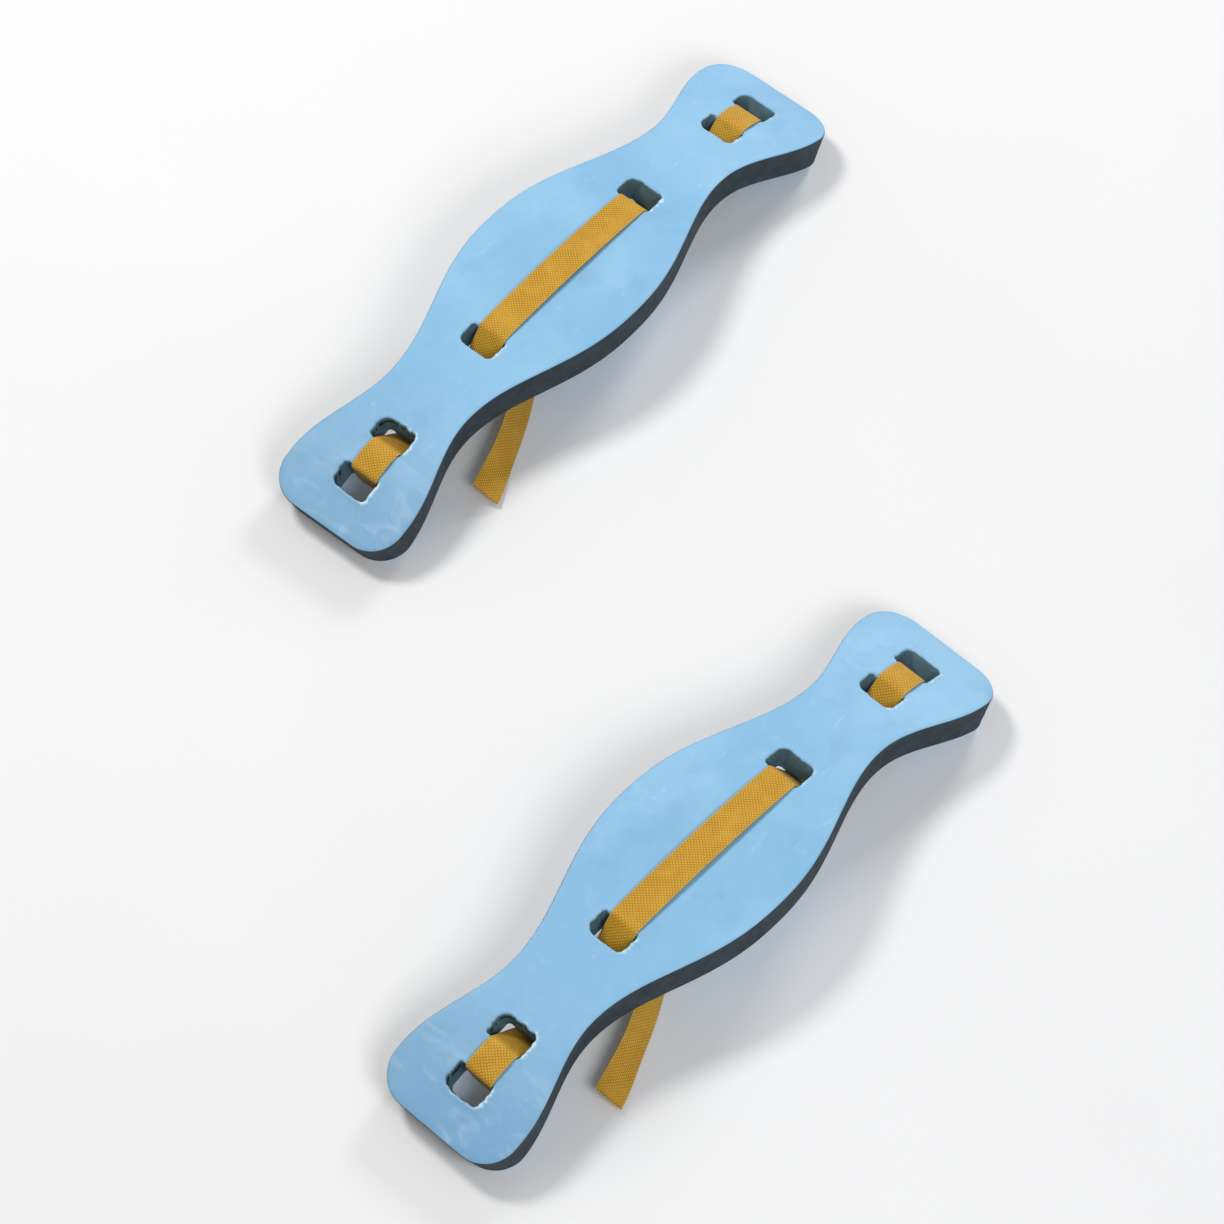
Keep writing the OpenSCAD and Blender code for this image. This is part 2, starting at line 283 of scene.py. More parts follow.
def foam_material():
    """Closed-cell foam: a satin skin with faint mottling and scuffs, painted shade towards the near end
    and painted highlights on the torn slot lips, and rougher cut walls painted darker than the skin as
    shade, with painted shade in their open cells.
    """
    n = Nodes("foam")
    wall = n.attribute("wall")
    lip_highlight = n.attribute("lip_highlight")
    near = n.step(n.attribute("along"), -0.45, -0.95)
    clouds = n.noise(9.0, 4.0, 0.55)
    blotch = n.noise(38.0, 4.0, 0.6)
    skin = n.mix(n.step(clouds, 0.35, 0.68), SKIN_DEEP, SKIN_PALE)
    skin = n.mix(n.step(blotch, 0.5, 0.78, 0.0, 0.35), skin, SKIN_BLOTCH)
    scuff = n.noise(55.0, 6.0, 0.72, n.scaled_place(0.55, 1.6, 1.0), 0.6)
    skin = n.mix(n.step(scuff, 0.60, 0.72, 0.0, 0.45), skin, SKIN_SCUFF)
    dirt = n.noise(16.0, 5.0, 0.65)
    skin = n.mix(n.step(dirt, 0.52, 0.72, 0.0, 0.35), skin, SKIN_DIRT)
    # Painted shade, darkening the skin towards the near end
    skin = n.mix(n.math("MULTIPLY", near, 0.5), skin, SKIN_NEAR_SHADE)
    streaks = n.noise(30.0, 5.0, 0.6, n.scaled_place(1.7, 0.6, 1.0), 1.2)
    streaked = n.step(streaks, 0.50, 0.70, 0.0, 0.5)
    skin = n.mix(n.math("MULTIPLY", near, streaked), skin, SKIN_STREAK)
    # Painted highlight on the torn slot lips
    skin = n.mix(n.step(lip_highlight, 0.15, 0.9, 0.0, 0.85), skin, TORN_LIP_HIGHLIGHT)
    cells = n.add("ShaderNodeTexVoronoi", Scale=900.0).outputs["Distance"]
    bore = n.attribute("bore")
    rough = n.step(n.noise(60.0, 5.0, 0.65), 0.35, 0.7)
    # Painted shade: the outer wall is coloured near black
    side = n.mix(rough, SIDE_SHADE_DARK, SIDE_SHADE_PALE)
    # Painted shade: the slot walls are coloured darker than the skin
    cut = n.mix(bore, side, n.mix(rough, BORE_SHADE_DARK, BORE_SHADE_PALE))
    # Painted shade: near-black dots in the open cells of the cut walls
    cut = n.mix(n.step(cells, 0.0, 0.55, 0.35, 0.0), cut, CELL_PIT_SHADE)
    colour = n.mix(n.step(wall, 0.25, 0.75), skin, cut)
    fine = n.noise(1300.0, 3.0, 0.6)
    dents = n.noise(70.0, 4.0, 0.55)
    normal = n.bump(fine, 0.0002, 0.35)
    normal = n.bump(dents, 0.0012, 0.35, normal)
    normal = n.bump(cells, 0.0005, n.step(wall, 0.25, 0.75, 0.0, 0.8), normal)
    roughness = n.step(n.math("ADD", blotch, n.math("MULTIPLY", wall, 0.4)), 0.3, 0.9, 0.5, 0.78)
    return n.finish(colour, roughness, normal)


# The weave, in mm
RIB_W = 1.875
PICK_L = 3.4


def webbing_material():
    """Woven webbing: fine warp ribs crossed by picks, in the piece's own run and width, with painted
    shade in the weave's hollows and painted highlight on its crowns.
    """
    n = Nodes("webbing")
    run = n.attribute("run")
    across = n.attribute("across")
    rib = n.math("DIVIDE", across, RIB_W)
    odd = n.math("MODULO", n.math("FLOOR", n.math("ADD", rib, 100.0)), 2.0)
    rib_wave = n.math("ABSOLUTE", n.math("SINE", n.math("MULTIPLY", rib, math.pi)))
    shifted = n.math("ADD", n.math("DIVIDE", run, PICK_L), n.math("MULTIPLY", odd, 0.5))
    pick = n.math("MULTIPLY", shifted, math.tau)
    pick_wave = n.math("MULTIPLY_ADD", n.math("SINE", pick), 0.5, 0.5)
    weave = n.math("MULTIPLY", rib_wave, n.math("MULTIPLY_ADD", pick_wave, 0.7, 0.3))
    fibre = n.noise(2200.0, 2.0, 0.6)
    worn = n.noise(45.0, 4.0, 0.6)
    # Painted shade in the weave's hollows and painted highlight on its crowns
    colour = n.mix(n.step(weave, 0.05, 0.8), WEB_HOLLOW_SHADE, WEB_CROWN_HIGHLIGHT)
    colour = n.mix(n.step(worn, 0.35, 0.75, 0.0, 0.3), colour, WEB_WORN)
    colour = n.mix(n.step(n.noise(20.0, 3.0, 0.5), 0.55, 0.75, 0.0, 0.25), colour, WEB_SOIL)
    edge = n.step(n.math("ABSOLUTE", across), WEB_W / 2 - 1.6, WEB_W / 2 - 0.4)
    colour = n.mix(n.math("MULTIPLY", edge, 0.35), colour, WEB_EDGE)
    normal = n.bump(n.math("MULTIPLY_ADD", fibre, 0.25, weave), 0.0004, 0.8)
    n.shader.inputs["Sheen Weight"].default_value = 0.08
    n.shader.inputs["Sheen Roughness"].default_value = 0.45
    n.shader.inputs["Specular IOR Level"].default_value = 0.25
    return n.finish(colour, n.step(worn, 0.3, 0.8, 0.62, 0.5), normal)


def thread_material():
    """Twisted sewing thread, with painted shade in the grooves of its twist."""
    n = Nodes("thread")
    twist = n.add("ShaderNodeTexWave", Scale=900.0, Distortion=1.5, Detail=1.0)
    n.feed(twist.inputs["Vector"], n.place())
    fuzz = n.noise(1500.0, 3.0, 0.6)
    # Painted shade in the grooves of the thread's twist
    colour = n.mix(twist.outputs[1], THREAD_GROOVE_SHADE, THREAD_PALE)
    colour = n.mix(n.step(fuzz, 0.5, 0.8, 0.0, 0.4), colour, THREAD_FUZZ)
    return n.finish(colour, 0.6, n.bump(twist.outputs[1], 0.0001, 0.6))


def buckle_material():
    """Injection-moulded plastic, satin, with a fine spark-eroded texture and rubbed patches."""
    n = Nodes("buckle")
    grain = n.noise(1800.0, 2.0, 0.5)
    flow = n.noise(60.0, 3.0, 0.5, n.scaled_place(1.0, 3.0, 1.0))
    rub = n.noise(220.0, 5.0, 0.7)
    colour = n.mix(n.step(flow, 0.3, 0.7), PLASTIC_DARK, PLASTIC_PALE)
    colour = n.mix(n.step(rub, 0.62, 0.75, 0.0, 0.5), colour, PLASTIC_RUB)
    roughness = n.step(n.math("ADD", flow, n.math("MULTIPLY", rub, 0.4)), 0.4, 1.0, 0.36, 0.58)
    return n.finish(colour, roughness, n.bump(grain, 0.0001, 0.35))


def floor_material():
    """A matt, nearly white floor."""
    n = Nodes("floor")
    colour = n.mix(n.step(n.noise(1.2, 3.0), 0.3, 0.7), FLOOR_DARK, FLOOR_PALE)
    return n.finish(colour, 0.9, n.bump(n.noise(90.0, 3.0), 0.0002, 0.2))


FOAM = foam_material()
WEBBING = webbing_material()
THREAD = thread_material()
BUCKLE = buckle_material()

# ---------- mesh helpers ----------


def new_piece(name, points, faces, material, place, attributes=()):
    """A mesh object from points in mm in a ski's own frame, set down by place."""
    mesh = bpy.data.meshes.new(name)
    mesh.from_pydata([place @ (Vector(p) * MM) for p in points], [], faces)
    for key, values in attributes:
        layer = mesh.attributes.new(key, "FLOAT", "POINT")
        layer.data.foreach_set("value", values)
    mesh.materials.append(material)
    mesh.shade_smooth()
    mesh.update()
    piece = bpy.data.objects.new(name, mesh)
    bpy.context.scene.collection.objects.link(piece)
    return piece


def resample(points, step, closed=False):
    """Points at even steps along a polyline."""
    line = list(points) + ([points[0]] if closed else [])
    lengths = [0.0]
    for a, b in zip(line, line[1:]):
        lengths.append(lengths[-1] + math.dist(a, b))
    count = max(2, round(lengths[-1] / step))
    out, j = [], 0
    for i in range(count + (0 if closed else 1)):
        d = lengths[-1] * i / count
        while j < len(lengths) - 2 and lengths[j + 1] < d:
            j += 1
        t = (d - lengths[j]) / max(1e-9, lengths[j + 1] - lengths[j])
        out.append(tuple(a + (b - a) * min(1, max(0, t)) for a, b in zip(line[j], line[j + 1])))
    return out


def outward(ring):
    """Unit normals of a closed counter-clockwise ring, pointing away from its inside."""
    normals = []
    for i, here in enumerate(ring):
        a, b = ring[i - 1], ring[(i + 1) % len(ring)]
        dx, dy = b[0] - a[0], b[1] - a[1]
        size = math.hypot(dx, dy) or 1
        normals.append((dy / size, -dx / size))
    return normals


# ---------- foam board ----------

EDGE_R = 2.2
SLOT_MARGIN = 7.2
GRID = 6.0
OUTLINE_STEP = 4.0
TIGHT_R = 3.0
TOP_WIDE_R = 9.0
LOW_WIDE_R = 6.0
# Only the part of the width beyond this moves to keep the outer wall upright
KEEP_Y = 25.0
# Heights of the rows of points down the outer wall and down a slot's wall
SIDE_LEVELS = (-7.0, -12.5, -17.0, -21.5, -27.0)
BORE_LEVELS = (-8.0, -13.0, -18.0, -23.0, -27.5)
# How far the cut edge wanders, and how rough it is at the worn near slot and at the others
RAG_WANDER = 1.2
WORN_ROUGH = 1.5
SLOT_ROUGH = 0.9
# Sections from the face in to a slot's wall, as (distance from the wall, height over the face):
# ragged where the foam is bare, and rounded over where the strap bears on it
RAGGED = ((7.2, 0), (3.6, 0.3), (2.2, 0.6), (1.1, 0.45), (0.35, -0.3), (0, -1.6), (0, -6.0))
FILLET = ((7.2, 0), (4.8, 0), (3.0, -0.37), (1.4, -1.4), (0.37, -3.0), (0, -4.8), (0, -6.0))
# How much of each row's look is painted highlight on the torn lip, and how much is cut wall
LIP_HIGHLIGHT_SHARE = (0, 0.4, 0.9, 1.0, 0.3, 0, 0)
WALL_SHARE = (0, 0, 0, 0, 0.4, 0.9, 1)
EDGE = ((EDGE_R, 0), (0.5 * EDGE_R, -0.14 * EDGE_R), (0.14 * EDGE_R, -0.5 * EDGE_R), (0, -EDGE_R))


def outline_ring():
    """The board's outline seen from above, counter-clockwise."""
    half = BOARD_L / 2
    corner = [90 - 6 * i for i in range(16)]
    flat = half - CORNER_R
    right = [(s, -top_width(s)) for s in [flat * i / 90 for i in range(-90, 91)]]

    def arc(sx, sy, angles):
        out = []
        for a in angles:
            s = flat + CORNER_R * math.cos(a * DEG)
            y = plain_width(s) - CORNER_R + CORNER_R * math.sin(a * DEG)
            out.append((sx * s, sy * y))
        return out

    ring = right[1:-1]
    ring += arc(1, -1, corner)
    ring += arc(1, 1, corner[::-1])
    ring += [(s, -y) for s, y in right[1:-1][::-1]]
    ring += arc(-1, 1, corner)
    ring += arc(-1, -1, corner[::-1])
    return resample(ring, OUTLINE_STEP, closed=True)


def slot_ring(s0, strap_side, wide):
    """A slot's outline: tight corners where the strap runs, rounder ones where it doesn't."""
    ring = []
    hl, hw = SLOT_L / 2, SLOT_W / 2
    for k in range(4):
        sx, sy = ((1, -1), (1, 1), (-1, 1), (-1, -1))[k]
        r = TIGHT_R if sx == strap_side else wide
        if sy < 0 and r > TIGHT_R:
            r = 0.5 * (r + TIGHT_R)
        start = (-90, 0, 90, 180)[k]
        arc = []
        for i in range(7):
            a = (start + 15 * i) * DEG
            arc.append((s0 + sx * (hl - r) + r * math.cos(a), sy * (hw - r) + r * math.sin(a)))
        if ring:
            ring += between(ring[-1], arc[0], 18 if k in (1, 3) else 9)
        ring += arc
    ring += between(ring[-1], ring[0], 9)
    return ring


def between(a, b, count):
    """The points inside a straight run, without its ends."""
    out = []
    for i in range(1, count):
        t = i / count
        out.append((a[0] + (b[0] - a[0]) * t, a[1] + (b[1] - a[1]) * t))
    return out


def inside(ring, x, y):
    """Whether a point lies within a closed ring."""
    hit = False
    for (ax, ay), (bx, by) in zip(ring, ring[1:] + ring[:1]):
        if (ay > y) != (by > y) and x < ax + (y - ay) * (bx - ax) / (by - ay):
            hit = not hit
    return hit


def fit_wall(s, y, h):
    """Moves a point's y so that the outer wall stands upright, as in the CAD model."""
    if abs(y) < KEEP_Y:
        return y
    top, here = plain_width(s), plain_width(s, h)
    return math.copysign(KEEP_Y + (abs(y) - KEEP_Y) * (here - KEEP_Y) / (top - KEEP_Y), y)


def foam_board(name, place, seed):
    """One arched board: two faces, the outer wall and the six slots, as one closed mesh."""
    slots = []
    for side in (-1, 1):
        for s0, top_side in ((INNER_SLOT_S, -1), (NECK_SLOT_S, 1), (OUTER_SLOT_S, -1)):
            low_side = -top_side if s0 != OUTER_SLOT_S else top_side
            slots.append((side * s0, side * top_side, side * low_side))

    flat = []
    edges = []
    edge_ring = outline_ring()
    edge_normals = outward(edge_ring)
    flat += [(p[0] - n[0] * EDGE_R, p[1] - n[1] * EDGE_R) for p, n in zip(edge_ring, edge_normals)]
    count = len(edge_ring)
    edges += [(i, (i + 1) % count) for i in range(count)]
    slot_rings = []
    for s0, top_side, low_side in slots:
        rough = WORN_ROUGH if s0 < -NECK_SLOT_S + 1 else SLOT_ROUGH
        top = slot_ring(s0, top_side, TOP_WIDE_R)
        low = slot_ring(s0, low_side, LOW_WIDE_R)
        normals = outward(top)
        first = len(flat)
        rag = []
        for p, n in zip(top, normals):
            cover = smooth((WEB_W / 2 + 2.5 - abs(p[1] - WEB_Y)) / 2.5)
            free = 1 - cover * min(1, max(0, 2 * n[0] * top_side))
            wobble = noise3(p[0] * 0.16 + seed, p[1] * 0.16, 3.1)
            wobble += 0.5 * noise3(p[0] * 0.55, p[1] * 0.55, seed)
            rag.append((free * rough, wobble))
        flat += [(p[0] + n[0] * SLOT_MARGIN, p[1] + n[1] * SLOT_MARGIN) for p, n in zip(top, normals)]
        size = len(top)
        edges += [(first + i, first + (i + 1) % size) for i in range(size)]
        slot_rings.append((first, top, low, normals, rag, top_side, low_side))
    half = BOARD_L / 2
    rows = int(2 * half / GRID)
    for i in range(rows + 1):
        s = -half + GRID * (i + 0.5)
        if abs(s) > half - EDGE_R - 3:
            continue
        reach = top_width(s) - EDGE_R - 3
        for j in range(-20, 21):
            y = GRID * (j + 0.5 * (i % 2))
            if abs(y) > reach:
                continue
            clear = SLOT_MARGIN + 2.5
            if any(abs(s - q[0]) < SLOT_L / 2 + clear and abs(y) < SLOT_W / 2 + clear for q in slots):
                continue
            flat.append((s, y))
    result = delaunay_2d_cdt([Vector(p) for p in flat], edges, [], 1, 1e-6, True)
    places, faces, sources = result[0], result[2], result[3]
    index = {}
    for i, source in enumerate(sources):
        for old in source:
            index[old] = i
    rings = [flat[:count]] + [flat[r[0] : r[0] + len(r[1])] for r in slot_rings]
    ring_of = {}
    for first, ring in zip([0] + [r[0] for r in slot_rings], rings):
        for k in range(len(ring)):
            ring_of[index[first + k]] = ring
    kept = []
    for f in faces:
        c = sum((places[i] for i in f), Vector((0, 0))) / len(f)
        owners = [ring_of.get(i) for i in f]
        if owners[0] is not None and all(o is owners[0] for o in owners):
            # A triangle with all its corners on one ring may lie in a slot or outside the outline
            if inside(owners[0], c.x, c.y) != (owners[0] is rings[0]):
                continue
        a, b, d = (places[i] for i in f[:3])
        ccw = (b - a).cross(d - a) > 0
        kept.append(tuple(f) if ccw else tuple(reversed(f)))

    points, wall, lip_highlight, along, bore, all_faces = [], [], [], [], [], []

    def put(s, y, h, wall_value=0.0, lip_highlight_value=0.0, bore_value=0.0):
        x, z = arch_point(s, h)
        points.append((x, fit_wall(s, y, h), max(0, z)))
        wall.append(wall_value)
        lip_highlight.append(lip_highlight_value)
        along.append(2 * s / BOARD_L)
        bore.append(bore_value)
        return len(points) - 1

    def swellings(s, y):
        calm = 0.25 + 0.75 * smooth((abs(y - WEB_Y) - 15) / 10)
        soft = noise3(s * 0.014 + seed, y * 0.02, 1.7) * 0.35
        soft += noise3(s * 0.06, y * 0.06 + seed, 5.2) * 0.12
        return soft * calm

    top_ids = [put(p.x, p.y, swellings(p.x, p.y)) for p in places]
    low_ids = [put(p.x, p.y, -BOARD_T) for p in places]
    for f in kept:
        all_faces.append(tuple(top_ids[i] for i in f))
        all_faces.append(tuple(low_ids[i] for i in reversed(f)))

    def skin_between(upper, lower, outside):
        size = len(upper)
        for i in range(size):
            j = (i + 1) % size
            if outside:
                all_faces.append((upper[j], upper[i], lower[i], lower[j]))
            else:
                all_faces.append((upper[i], upper[j], lower[j], lower[i]))

    # Outer wall
    upper = [top_ids[index[i]] for i in range(count)]
    for d, h in EDGE[1:]:
        row = []
        for p, n in zip(edge_ring, edge_normals):
            row.append(put(p[0] - n[0] * d, p[1] - n[1] * d, h, 0.0 if d > 1 else 0.75))
        skin_between(upper, row, True)
        upper = row
    for h in SIDE_LEVELS:
        row = []
        for p, n in zip(edge_ring, edge_normals):
            rough = 0.22 * noise3(p[0] * 0.09, p[1] * 0.09 + h * 0.16, seed + 9.0)
            row.append(put(p[0] + n[0] * (rough - 0.2), p[1] + n[1] * (rough - 0.2), h, 1.0))
        skin_between(upper, row, True)
        upper = row
    for d, h in reversed(EDGE[1:]):
        row = []
        for p, n in zip(edge_ring, edge_normals):
            row.append(put(p[0] - n[0] * d, p[1] - n[1] * d, -BOARD_T - h, 0.0 if d > 1 else 0.75))
        skin_between(upper, row, True)
        upper = row
    skin_between(upper, [low_ids[index[i]] for i in range(count)], True)

    # Slots
    for first, top, low, normals, rag, top_side, low_side in slot_rings:
        size = len(top)
        upper = [top_ids[index[first + i]] for i in range(size)]
        low_normals = outward(low)
        for k in range(1, len(RAGGED)):
            row = []
            for p, n, (free, wobble) in zip(top, normals, rag):
                bare = min(1, free)
                d = RAGGED[k][0] * bare + FILLET[k][0] * (1 - bare)
                h = RAGGED[k][1] * free + FILLET[k][1] * (1 - bare)
                if k < 4:
                    h *= 0.6 + 0.8 * abs(wobble) * 2
                d += free * RAG_WANDER * wobble * (1 - RAGGED[k][0] / SLOT_MARGIN)
                # Painted highlight on the bare torn lips, strongest on the -Y side, which faces the key
                # light
                facing = min(1, max(0, 0.3 - 0.7 * n[1]))
                bright = facing * free * LIP_HIGHLIGHT_SHARE[k] * (0.3 + 1.6 * abs(wobble))
                row.append(put(p[0] + n[0] * d, p[1] + n[1] * d, h, WALL_SHARE[k], bright, 1.0))
            skin_between(upper, row, False)
            upper = row
        for h in BORE_LEVELS:
            t = -h / BOARD_T
            row = []
            for i in range(size):
                p = tuple(u + (v - u) * t for u, v in zip(top[i], low[i]))
                n = normals[i]
                rough = 0.2 * abs(noise3(p[0] * 0.2, p[1] * 0.2 + h * 0.2, seed))
                rough += rag[i][0] * RAG_WANDER * rag[i][1] * (1 - t)
                row.append(put(p[0] + n[0] * rough, p[1] + n[1] * rough, h, 1.0, 0.0, 1.0))
            skin_between(upper, row, False)
            upper = row
        for k in range(len(FILLET) - 1, 0, -1):
            d, h = FILLET[k]
            row = []
            for p, n in zip(low, low_normals):
                cut_value = 1.0 if d < 1 else 0.0
                row.append(put(p[0] + n[0] * d, p[1] + n[1] * d, -BOARD_T - h, cut_value, 0.0, 1.0))
            skin_between(upper, row, False)
            upper = row
        skin_between(upper, [low_ids[index[first + i]] for i in range(size)], False)
    looks = (("wall", wall), ("lip_highlight", lip_highlight), ("along", along), ("bore", bore))
    return new_piece(name, points, all_faces, FOAM, place, looks)


# ---------- webbing ----------

# The radius of a bend at a slot in mm, and the counts of its steps and of columns across a strap
BEND_R = 6.0
BEND_STEPS = 9
ACROSS = 20
RIB_H = 0.045
WAVE_H = 0.10
ROUTE_STEP = 1.6
# A strap that changes faces crosses its slot on the line that touches both of its bends
CROSS_S = 2 * INNER_EDGE + 2 * BEND_R
CROSS_H = BOARD_T + 2 * WEB_H - 2 * BEND_R
CROSS_TURN = (math.atan2(CROSS_H, CROSS_S) + math.asin(2 * BEND_R / math.hypot(CROSS_S, CROSS_H))) / DEG


def slot_bend(s, h, out, up, turn=90):
    """A turn around an edge of a slot, from level by turn degrees, with its upright tangent at s."""
    bend = []
    for i in range(BEND_STEPS + 1):
        a = turn * i / BEND_STEPS * DEG
        ds = out * BEND_R * (math.sin(a) - 1)
        dh = up * BEND_R * (math.cos(a) - 1)
        bend.append(arch_point(s + ds, h + dh))
    return bend


def over_run(s0, s1, h0, bow):
    """The points of a run along a face, which stands off it by bow in the middle."""
    out = []
    for i in range(1, 12):
        t = i / 12
        out.append(arch_point(s0 + (s1 - s0) * t, h0 + bow * math.sin(math.pi * t)))
    return out


def mirrored(route):
    """A route on the other half of the board, in the same direction of travel."""
    return [(-x, z) for x, z in reversed(route)]


def ring_points(cx, cz, r, start, end, steps):
    """Points along an arc seen from the side."""
    out = []
    for i in range(steps + 1):
        a = (start + (end - start) * i / steps) * DEG
        out.append((cx + r * math.cos(a), cz + r * math.sin(a)))
    return out


STRAP_HALF = (
    [arch_point(0, WEB_H + WEB_BOW)]
    + [arch_point(t * INNER_SLOT_S, WEB_H + WEB_BOW * math.cos(90 * t * DEG)) for t in (0.25, 0.5, 0.75)]
    + slot_bend(INNER_SLOT_S - INNER_EDGE, WEB_H, 1, 1, CROSS_TURN)
    + slot_bend(INNER_SLOT_S + INNER_EDGE, UNDER_H, -1, -1, CROSS_TURN)[::-1]
    + over_run(INNER_SLOT_S + INNER_EDGE + BEND_R, NECK_SLOT_S - INNER_EDGE - BEND_R, UNDER_H, 0)
    + slot_bend(NECK_SLOT_S - INNER_EDGE, UNDER_H, 1, -1, CROSS_TURN)
    + slot_bend(NECK_SLOT_S + INNER_EDGE, WEB_H, -1, 1, CROSS_TURN)[::-1]
    + over_run(NECK_SLOT_S + INNER_EDGE + BEND_R, OUTER_SLOT_S - INNER_EDGE - BEND_R, WEB_H, 1)
    + slot_bend(OUTER_SLOT_S - INNER_EDGE, WEB_H, 1, 1)
    + [arch_point(OUTER_SLOT_S - INNER_EDGE, -BOARD_T + 2.4)]
)
MOUTH = STRAP_HALF[-1]
MOUTH_LOW = arch_point(OUTER_SLOT_S - INNER_EDGE - 1.8, UNDER_H - 1)
PLY_H = (WEB_T + 0.1) / 2
LOOP_R = 2 + WEB_GAP + WEB_T / 2
LOOP_LEAN = math.asin((LOOP_R - PLY_H) / LOOP_L) / DEG
WEB_OVER = FRAME_H + WEB_H
LOAD_OVER = WEB_OVER + WEB_T + WEB_GAP
INNER_EYE_X = -FRAME_L + 2 * BAR_W + 1.5 * EYE_L
OUTER_EYE_X = -FRAME_L + BAR_W + EYE_L / 2
FOLD_R = 1.8

SOCKET_ROUTE = (
    [MOUTH, MOUTH_LOW]
    + [(SOCKET_BAR_X + LAP_L + LAP_LEAD, BUCKLE_Z + PLY_H), (SOCKET_BAR_X + LOOP_L, BUCKLE_Z + PLY_H)]
    + ring_points(SOCKET_BAR_X, BUCKLE_Z, LOOP_R, 90 - LOOP_LEAN, 270 + LOOP_LEAN, 24)
    + [(SOCKET_BAR_X + LOOP_L, BUCKLE_Z - PLY_H), (SOCKET_BAR_X + LAP_L, BUCKLE_Z - PLY_H)]
)


def fold(p, a, b):
    """A rounded corner at p, from direction a to direction b."""
    out = []
    for t in range(0, 91, 15):
        k, m = FOLD_R * (1 - math.sin(t * DEG)), FOLD_R * (1 - math.cos(t * DEG))
        out.append((p[0] - k * a[0] + m * b[0], p[1] - k * a[1] + m * b[1]))
    return out


PLUG_ROUTE = (
    [(-MOUTH[0], MOUTH[1]), (-MOUTH_LOW[0], MOUTH_LOW[1])]
    + [(-FRAME_L - 40, BUCKLE_Z + LOAD_OVER), (-FRAME_L, BUCKLE_Z + LOAD_OVER)]
    + fold((INNER_EYE_X, BUCKLE_Z + LOAD_OVER), (1, 0), (0, -1))
    + fold((INNER_EYE_X, BUCKLE_Z - WEB_OVER), (0, -1), (-1, 0))
    + fold((OUTER_EYE_X, BUCKLE_Z - WEB_OVER), (-1, 0), (0, 1))
    + fold((OUTER_EYE_X, BUCKLE_Z + WEB_OVER), (0, 1), (-1, 0))
    + [(TAIL_X + TAIL_GAP, BUCKLE_Z + WEB_OVER)]
)


# The free end's lengths in mm and angles in degrees. Its rolled edge cuts the strap above it
TURN_L = 30
ROLL_L = 60
TAIL_ROLL = 50
TAIL_SWAY = 8
TAIL_STEP = 1.5
# The tip: where it starts and how long it is, as shares of the free end
TIP_FROM = 0.7
TIP_SPAN = 0.3
TIP_RELAX = 0.4
TAIL_CURL = 5


def ribbon(name, path, place, ups, seed, run0=0.0):
    """A band of webbing along path, a list of centre points in 3D with the width's direction."""
    points, faces, run, across = [], [], [], []
    count = len(path)
    travelled = run0
    half = WEB_W / 2
    columns = [-1 + 2 * i / ACROSS for i in range(ACROSS + 1)]
    loop = [(c, 1) for c in columns] + [(c, -1) for c in reversed(columns)]
    for i, p in enumerate(path):
        a, b = path[max(0, i - 1)], path[min(count - 1, i + 1)]
        ahead = (b - a).normalized()
        side = ups[i]
        side = (side - ahead * side.dot(ahead)).normalized()
        up = side.cross(ahead)
        if i:
            travelled += (p - path[i - 1]).length
        for c, face in loop:
            rib = RIB_H * math.cos(c * half / RIB_W * math.tau)
            edge = 1 - 0.5 * smooth((abs(c) - 0.94) / 0.06)
            wave = WAVE_H * noise3(travelled * 0.05, c * 1.5, seed)
            thick = (WEB_T / 2 + rib - 0.05) * edge
            width = half * (1 + 0.006 * noise3(travelled * 0.11, seed, 0.3)) - 0.15
            q = p + side * (c * width) + up * (face * thick + wave)
            points.append(tuple(q))
            run.append(travelled)
            across.append(c * half)
    size = len(loop)
    for i in range(count - 1):
        for k in range(size):
            m = (k + 1) % size
            faces.append((i * size + k, i * size + m, (i + 1) * size + m, (i + 1) * size + k))
    # The cut ends: strips between the two faces
    for base, flip in ((0, False), ((count - 1) * size, True)):
        for k in range(ACROSS):
            quad = (base + k, base + size - 1 - k, base + size - 2 - k, base + k + 1)
            faces.append(quad if flip else tuple(reversed(quad)))
    faces = [tuple(reversed(f)) for f in faces]
    return new_piece(name, points, faces, WEBBING, place, (("run", run), ("across", across)))


def fine_route(route):
    """Keeps the points of the bends and adds points to the straight runs."""
    out = [route[0]]
    for a, b in zip(route, route[1:]):
        gap = math.dist(a, b)
        steps = max(1, math.ceil(gap / ROUTE_STEP))
        for i in range(1, steps + 1):
            t = i / steps
            out.append((a[0] + (b[0] - a[0]) * t, a[1] + (b[1] - a[1]) * t))
    points = [Vector((x, WEB_Y, z)) for x, z in out]
    return points, [Vector((0, 1, 0))] * len(points)


